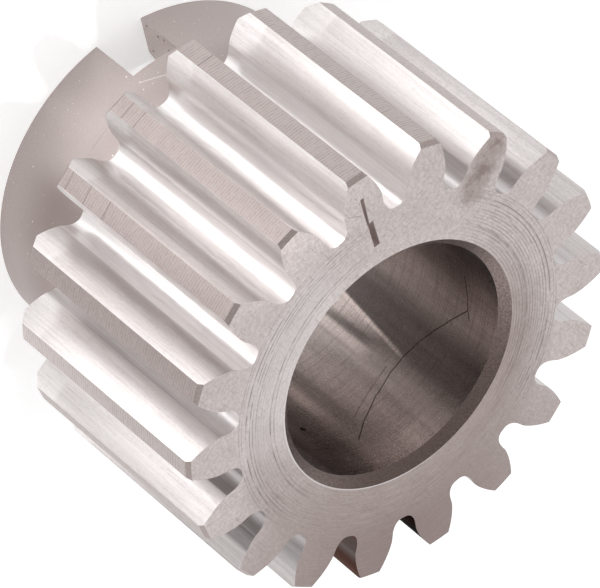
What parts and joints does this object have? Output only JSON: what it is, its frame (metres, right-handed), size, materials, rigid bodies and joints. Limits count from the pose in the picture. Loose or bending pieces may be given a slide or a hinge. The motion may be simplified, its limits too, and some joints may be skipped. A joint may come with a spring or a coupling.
{
  "type": "pinion gear",
  "caption": "Steel spur pinion with straight involute teeth, a plain through bore and a short plain hub whose end has one drive slot.",
  "frame": {"origin": "on the gear's axis, in the plane of the hub's end face, which the part stands on", "axes": "+Z along the gear's axis from the hub's end to the toothed front face; +X through the middle of tooth 1 and of the hub's drive slot"},
  "size_m": [0.05, 0.0496, 0.04],
  "materials": {
    "steel": "machined, satin"
  },
  "bodies": {
    "root": {"pinion": "steel"}
  },
  "joints": []
}
